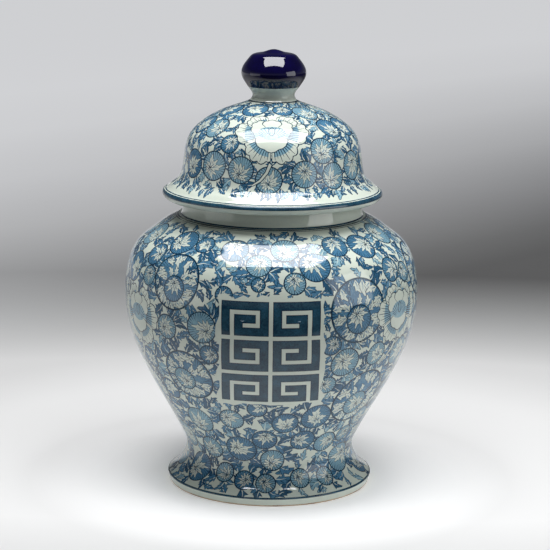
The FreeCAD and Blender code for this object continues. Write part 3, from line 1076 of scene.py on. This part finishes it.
def throw(name, body, node, slot, outline, glaze, column=3.6, **sheet):
    """Turn a sheet into a finished piece that stands for a node of the model. Its columns are so many
    millimetres wide at the widest radius."""
    mesh, widest_radius = flat_sheet(name, outline, column, **sheet)
    flat, gauge = bpy.data.objects.new(name + "_flat", mesh), gauge_object(outline)
    bpy.context.collection.objects.link(flat)
    wheel = flat.modifiers.new("wheel", "NODES")
    wheel.node_group = WHEEL
    inputs = {"Outline": gauge, "Widest radius": widest_radius, "Weld distance": WELD,
              "Glaze": glaze, "Bare clay": BARE_CLAY}
    for item in WHEEL.interface.items_tree:
        if item.name in inputs and item.in_out == "INPUT":
            wheel[item.identifier] = inputs[item.name]
    graph = bpy.context.evaluated_depsgraph_get()
    turned = bpy.data.meshes.new_from_object(flat.evaluated_get(graph), preserve_all_data_layers=True,
                                             depsgraph=graph)
    normals = np.empty(len(turned.vertices) * 3, np.float32)
    turned.attributes["turned normal"].data.foreach_get("vector", normals)
    turned.attributes.remove(turned.attributes["turned normal"])
    turned.normals_split_custom_set_from_vertices(normals.reshape(-1, 3).tolist())
    turned.name = name
    piece = bpy.data.objects.new(name, turned)
    bpy.context.collection.objects.link(piece)
    for spare in (flat, gauge):
        bpy.data.objects.remove(spare)
    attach(piece, body)
    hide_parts(node)
    print(f"{name}: {len(turned.polygons)} triangles")

# %% [markdown]
# ## Glazes
# Clear glaze over cobalt is a smooth, hard, glassy skin. Under it the pigment is never even: washes pool
# and thin out, and the ground is a faintly green white with fine specks. One material reads the pigment
# of each triangle, shifts it with slow and fast noise, and turns it into a colour between bare ground and
# almost black. A material for each colour would be easier to follow, but its edges would be hard and its
# washes flat. Real glaze ripples very slightly, so the bump is tiny and wide.

# %% Small helpers for materials
def new_material(name):
    material = bpy.data.materials.new(name)
    material.use_nodes = True
    nodes = material.node_tree.nodes
    return material, nodes, material.node_tree.links.new, nodes["Principled BSDF"]


def noise(nodes, join, scale, detail=3.0, roughness=0.5):
    """Noise on the piece's own coordinates, in features per metre."""
    where = nodes.new("ShaderNodeTexCoord")
    texture = nodes.new("ShaderNodeTexNoise")
    texture.inputs["Scale"].default_value = scale
    texture.inputs["Detail"].default_value = detail
    texture.inputs["Roughness"].default_value = roughness
    join(where.outputs["Object"], texture.inputs["Vector"])
    return texture.outputs["Fac"]


def between(nodes, join, value, low_in, high_in, low_out, high_out):
    """The value, moved from one range to another and kept inside it."""
    node = nodes.new("ShaderNodeMapRange")
    for name, number in (("From Min", low_in), ("From Max", high_in), ("To Min", low_out),
                         ("To Max", high_out)):
        node.inputs[name].default_value = number
    join(value, node.inputs["Value"])
    return node.outputs["Result"]


def ramp(nodes, join, value, stops):
    """Colours at places from 0 to 1, blended in between."""
    node = nodes.new("ShaderNodeValToRGB")
    elements = node.color_ramp.elements
    while len(elements) < len(stops):
        elements.new(0.5)
    for element, (position, colour) in zip(elements, stops):
        element.position = position
        element.color = (*colour, 1)
    join(value, node.inputs["Fac"])
    return node.outputs["Color"]


def combine(nodes, join, operation, a, b):
    node = nodes.new("ShaderNodeMath")
    node.operation = operation
    for socket, value in zip(node.inputs, (a, b)):
        if isinstance(value, (int, float)):
            socket.default_value = value
        else:
            join(value, socket)
    return node.outputs[0]


def ripple(nodes, join, shader, height, strength, distance):
    bump = nodes.new("ShaderNodeBump")
    bump.inputs["Strength"].default_value = strength
    bump.inputs["Distance"].default_value = distance
    join(height, bump.inputs["Height"])
    join(bump.outputs["Normal"], shader.inputs["Normal"])


print("noise is given in features per metre, and ripples in metres")

# %% The painted glaze
def painted_glaze():
    """Clear glaze over whatever pigment each triangle holds."""
    material, nodes, join, shader = new_material("painted_glaze")
    pigment = nodes.new("ShaderNodeAttribute")
    pigment.attribute_name = "pigment"
    pools = between(nodes, join, noise(nodes, join, 85.0, 3.0, 0.6), 0.3, 0.7, 0.88, 1.12)
    grain = between(nodes, join, noise(nodes, join, 900.0, 2.0, 0.6), 0.3, 0.7, 0.90, 1.10)
    amount = combine(nodes, join, "MULTIPLY", combine(nodes, join, "MULTIPLY", pigment.outputs["Fac"],
                                                      pools), grain)
    specks = between(nodes, join, noise(nodes, join, 520.0, 4.0, 0.75), 0.40, 0.80, 0.0, 0.10)
    amount = combine(nodes, join, "ADD", amount, specks)
    join(ramp(nodes, join, amount, (
        (0.0, (0.620, 0.675, 0.590)), (0.08, (0.570, 0.640, 0.580)), (0.30, (0.215, 0.385, 0.470)),
        (0.50, (0.060, 0.180, 0.305)), (0.66, (0.025, 0.095, 0.185)), (0.84, (0.018, 0.064, 0.098)),
        (1.0, (0.006, 0.026, 0.056)),
    )), shader.inputs["Base Color"])
    join(between(nodes, join, noise(nodes, join, 40.0), 0.3, 0.7, 0.035, 0.06), shader.inputs["Roughness"])
    shader.inputs["IOR"].default_value = 1.56
    ripple(nodes, join, shader, noise(nodes, join, 120.0, 1.0), 0.05, 0.0006)
    return material


PAINTED_GLAZE = painted_glaze()
print("made", PAINTED_GLAZE.name)

# %% [markdown]
# ## The knob's glaze and the bare clay
# The knob is dipped in a glaze that is itself blue, so thick that it is almost black. A dark colour alone
# would look like plastic: two near blues drift over it, and the shine is very sharp. The foot's seat and
# the neck's rim have no glaze at all, and their fired clay is dry, sandy and stained.

# %% The cobalt glaze and the bare clay
def cobalt_glaze():
    """A thick blue-black glaze, in which two near blues drift."""
    material, nodes, join, shader = new_material("cobalt_glaze")
    join(ramp(nodes, join, noise(nodes, join, 90.0, 4.0, 0.6), (
        (0.30, (0.0012, 0.0005, 0.018)), (0.70, (0.0022, 0.0010, 0.034)),
    )), shader.inputs["Base Color"])
    join(between(nodes, join, noise(nodes, join, 150.0), 0.3, 0.7, 0.03, 0.06), shader.inputs["Roughness"])
    shader.inputs["IOR"].default_value = 1.60
    ripple(nodes, join, shader, noise(nodes, join, 110.0, 1.0), 0.06, 0.0008)
    return material


def bare_clay():
    """Fired clay without glaze: matt, sandy and stained brown where it was wiped."""
    material, nodes, join, shader = new_material("bare_clay")
    patches = combine(nodes, join, "MULTIPLY", noise(nodes, join, 60.0, 4.0), 0.6)
    sand = combine(nodes, join, "MULTIPLY", noise(nodes, join, 1400.0, 3.0, 0.7), 0.4)
    stain = combine(nodes, join, "ADD", patches, sand)
    join(ramp(nodes, join, stain, (
        (0.32, (0.21, 0.13, 0.075)), (0.48, (0.46, 0.35, 0.24)), (0.68, (0.62, 0.54, 0.43)),
    )), shader.inputs["Base Color"])
    join(between(nodes, join, stain, 0.3, 0.7, 0.95, 0.75), shader.inputs["Roughness"])
    ripple(nodes, join, shader, noise(nodes, join, 1800.0, 4.0, 0.7), 0.35, 0.0003)
    return material


COBALT_GLAZE, BARE_CLAY = cobalt_glaze(), bare_clay()
print("made", COBALT_GLAZE.name, "and", BARE_CLAY.name)

# %% [markdown]
# ## Throw the jar and the lid
# Each piece rides on the body that it belongs to, the jar or the lid, and stands for its node in the
# model. The jar's six pieces could be joined into one to hide their seams, but they meet edge to edge,
# and apart each stands for its own node. The neck's rim and the lid's seat are wiped clean of glaze,
# because the two are fired together and would stick. The stem and the knob are small, so their columns
# are narrower and they stay round.

# %% The jar
foot_start, lower_start, upper_start, _ = jar_sheet.starts
RIM_WIDTH = 7.5                         # of the bare stretch that goes over the neck's rim
throw("foot_ring_clay", "jar", "foot_ring", "bare_clay", ring_outline, BARE_CLAY)
throw("foot_painted", "jar", "foot_skirt", "painted_glaze", foot_outline, PAINTED_GLAZE,
      marks=jar_sheet.marks, start=foot_start)
throw("floor_glazed", "jar", "base_floor", "white_glaze", floor_outline, PAINTED_GLAZE)
throw("lower_body_painted", "jar", "lower_body", "painted_glaze", lower_outline, PAINTED_GLAZE,
      marks=jar_sheet.marks, start=lower_start)
throw("upper_body_painted", "jar", "upper_body", "painted_glaze", upper_outline, PAINTED_GLAZE,
      marks=jar_sheet.marks, start=upper_start)
neck_up = float(neck_outline.along[neck_outline.outside])
# The line round the neck's foot is a real painted line, widened with painted shade of the crease under the
# brim
neck_line_and_shade = [([(-180, 0.0), (180, 0.0), (180, 1.3), (-180, 1.3)], LINE)]
throw("neck_glazed", "jar", "neck_collar", "white_glaze", neck_outline, PAINTED_GLAZE,
      marks=neck_line_and_shade, bare=[(neck_up, neck_up + RIM_WIDTH)])

# %% The lid
SEAT_FROM, SEAT_TO = 28.0, 11.0         # the bare seat, back from where the lid's outline closes
throw("lid_painted", "lid", "lid_dome", "painted_glaze", lid_outline, PAINTED_GLAZE, column=2.4,
      marks=lid_sheet.marks, bare=[(lid_outline.along[-1] - SEAT_FROM, lid_outline.along[-1] - SEAT_TO)])
throw("bezel_glazed", "lid", "lid_bezel", "white_glaze", bezel_outline, PAINTED_GLAZE)
throw("stem_glazed", "lid", "knob_stem", "white_glaze", stem_outline, PAINTED_GLAZE, column=1.2)
throw("knob_glazed", "lid", "knob", "cobalt_glaze", knob_outline, COBALT_GLAZE, column=1.2)

# %% [markdown]
# ## The studio
# The jar stands on a pale table under one broad softbox that hangs straight overhead. A weaker panel
# stands to the right. The floor's colour also holds painted light: round the jar the table is painted
# paler and glows a little, a painted light that thins the jar's shadow, and in front of the table's edge
# the floor is painted almost black, as painted shade. Behind the table the sweep is painted darker, as
# painted shade, and then rises into a painted glow that stands in for a lit backdrop, brighter on the
# left. A gloss surface shows all of this: the softbox is the bright patch on the shoulder, and the table
# is the grey veil on the lower belly, up to the reflection of its front edge. A ready-made sky would light
# the jar too, but no one could then say which light makes which shine.

# %% The sweep's colours and painted light
TABLE_EDGE = -0.42                      # front edge of the pale table, m in front of the jar's axis
SWEEP_LENGTH = 6.0                      # m that the floor's colours are spread over


def sweep_material():
    material, nodes, join, shader = new_material("sweep_with_painted_light")
    where = nodes.new("ShaderNodeTexCoord").outputs["Object"]

    def shaped(factors, middle):
        """The place on the floor, stretched by factors about a middle point."""
        node = nodes.new("ShaderNodeVectorMath")
        node.operation = "MULTIPLY_ADD"
        join(where, node.inputs[0])
        node.inputs[1].default_value = factors
        node.inputs[2].default_value = [-f * m for f, m in zip(factors, middle)]
        return node.outputs["Vector"]

    length = nodes.new("ShaderNodeVectorMath")
    length.operation = "LENGTH"
    join(shaped((0.45, 1, 1), (0, 0.14, 0)), length.inputs[0])
    distance = combine(nodes, join, "POWER",
                       combine(nodes, join, "DIVIDE", length.outputs["Value"], SWEEP_LENGTH), 0.5)
    # Pale round the jar, a painted pool of light; then a painted band of shade behind the table; then
    # lighter again towards the backdrop
    pale = ramp(nodes, join, distance, (
        (0.0, (0.70, 0.70, 0.70)), (0.211, (0.72, 0.72, 0.72)), (0.276, (0.44, 0.445, 0.445)),
        (0.339, (0.17, 0.17, 0.17)), (0.408, (0.27, 0.27, 0.27)), (0.481, (0.35, 0.35, 0.36)),
    ))
    place = nodes.new("ShaderNodeSeparateXYZ")
    join(where, place.inputs[0])
    # In front of the table's edge the floor is painted almost black: painted shade that the lower belly
    # mirrors
    front = between(nodes, join, place.outputs["Y"], TABLE_EDGE - 0.012, TABLE_EDGE + 0.012, 0.06, 1.0)
    cut = nodes.new("ShaderNodeVectorMath")
    cut.operation = "SCALE"
    join(pale, cut.inputs[0])
    join(front, cut.inputs["Scale"])
    round_jar = nodes.new("ShaderNodeVectorMath")
    round_jar.operation = "LENGTH"
    join(where, round_jar.inputs[0])
    painted_shadow_lift = nodes.new("ShaderNodeVectorMath")
    painted_shadow_lift.operation = "SCALE"
    join(cut.outputs["Vector"], painted_shadow_lift.inputs[0])
    # Up to nearly half again paler close round the jar: painted light that thins the jar's own shadow
    near = ramp(nodes, join, round_jar.outputs["Value"], (
        (0.09, (0.95, 0.95, 0.95)), (0.20, (0.65, 0.65, 0.65)), (0.32, (0.71, 0.71, 0.71))))
    join(combine(nodes, join, "MULTIPLY", near, 1.5), painted_shadow_lift.inputs["Scale"])
    join(painted_shadow_lift.outputs["Vector"], shader.inputs["Base Color"])
    slant = combine(nodes, join, "MULTIPLY", place.outputs["X"], -1.1)
    behind = combine(nodes, join, "DIVIDE", combine(nodes, join, "ADD", place.outputs["Y"], slant),
                     SWEEP_LENGTH)
    # The sweep behind glows by itself, more to the left: painted light that stands in for a lit backdrop
    painted_backdrop_glow = ramp(nodes, join, behind, tuple(
        (at, (0.965 * glow, 0.975 * glow, glow)) for at, glow in
        ((0.10, 0.0), (0.125, 0.04), (0.183, 0.18), (0.25, 0.34), (0.333, 0.48), (0.433, 0.58),
         (0.55, 0.62))))
    # The table glows a little round the jar: painted light that fills the jar's shadow
    table = ramp(nodes, join, round_jar.outputs["Value"], tuple(
        (at, (glow, glow, glow)) for at, glow in ((0.11, 0.18), (0.19, 0.07), (0.30, 0.07), (0.42, 0.0))))
    painted_glow_sum = nodes.new("ShaderNodeVectorMath")
    join(painted_backdrop_glow, painted_glow_sum.inputs[0])
    join(table, painted_glow_sum.inputs[1])
    join(painted_glow_sum.outputs["Vector"], shader.inputs["Emission Color"])
    shader.inputs["Emission Strength"].default_value = 1.0
    join(between(nodes, join, noise(nodes, join, 30.0), 0.3, 0.7, 0.75, 0.85), shader.inputs["Roughness"])
    return material


print("the table ends", -TABLE_EDGE, "m in front of the jar")

# %% The floor
def studio_floor(radius, rings=24, sides=96):
    """A round floor, divided more finely near the jar."""
    points = [(0, 0, 0)]
    faces = []
    for ring in range(1, rings + 1):
        r = radius * (ring / rings) ** 2
        points += [(r * math.cos(math.tau * k / sides), r * math.sin(math.tau * k / sides), 0)
                   for k in range(sides)]
        first = 1 + (ring - 1) * sides
        for k in range(sides):
            following = (k + 1) % sides
            if ring == 1:
                faces.append((0, first + k, first + following))
            else:
                faces.append((first - sides + k, first + k, first + following, first - sides + following))
    mesh = bpy.data.meshes.new("studio_floor")
    mesh.from_pydata(points, [], faces)
    mesh.materials.append(sweep_material())
    floor = bpy.data.objects.new("studio_floor", mesh)
    bpy.context.collection.objects.link(floor)


FLOOR_RADIUS = 9.0
studio_floor(FLOOR_RADIUS)
print("the floor is", 2 * FLOOR_RADIUS, "m across")

# %% The softboxes and the air
def softbox(name, place, target, width, depth, radiance):
    """A rectangular panel of even light. A matt panel's watts are radiance times area times pi."""
    light = bpy.data.lights.new(name, "AREA")
    light.shape, light.size, light.size_y = "RECTANGLE", width, depth
    light.energy = radiance * width * depth * math.pi
    lamp = bpy.data.objects.new(name, light)
    lamp.location = place
    lamp.rotation_euler = (Vector(target) - Vector(place)).to_track_quat("-Z", "Y").to_euler()
    bpy.context.collection.objects.link(lamp)


softbox("overhead_softbox", (0.015, -0.16, 1.25), (0.015, -0.159, 0.0), 0.97, 0.62, 10.5)
softbox("right_panel", (1.25, -0.60, 0.50), (0, 0, 0.18), 0.90, 0.90, 2.2)
softbox("left_panel", (-1.10, -0.40, 0.25), (0, 0, 0.15), 0.90, 0.45, 0.6)


def studio_air():
    """A faint cool light from all round, stronger near the horizon than overhead."""
    world = bpy.data.worlds.new("studio_air")
    world.use_nodes = True
    nodes, join = world.node_tree.nodes, world.node_tree.links.new
    nodes["Background"].inputs["Color"].default_value = (0.80, 0.83, 0.90, 1)
    rise = nodes.new("ShaderNodeSeparateXYZ")
    join(nodes.new("ShaderNodeTexCoord").outputs["Generated"], rise.inputs[0])
    strength = between(nodes, join, rise.outputs["Z"], 0.05, 0.40, 0.22, 0.05)
    join(strength, nodes["Background"].inputs["Strength"])
    bpy.context.scene.world = world


studio_air()
bpy.context.scene.view_settings.view_transform = "Standard"
print("lights:", [lamp.name for lamp in bpy.data.lights])

# %% [markdown]
# ## The camera
# A long lens from well back keeps the jar's outline true, with its rim and foot as thin ovals. It looks
# down a little, and is tipped by less than a degree, as a hand-set tripod is. A camera could track an
# empty at the jar's middle, but plain numbers are easier to set again.

# %% Set the camera
LOOK_DOWN, TIP = 11.815, -0.68          # degrees
camera = bpy.data.objects.new("camera", bpy.data.cameras.new("camera"))
camera.data.lens, camera.data.sensor_width = 132.5, 36.0
camera.location = (-0.0011, -1.6205, 0.5099)
camera.rotation_euler = (math.radians(90 - LOOK_DOWN), math.radians(TIP), 0)
bpy.context.collection.objects.link(camera)
bpy.context.scene.camera = camera
print("camera", tuple(round(v, 4) for v in camera.location), "lens", camera.data.lens)
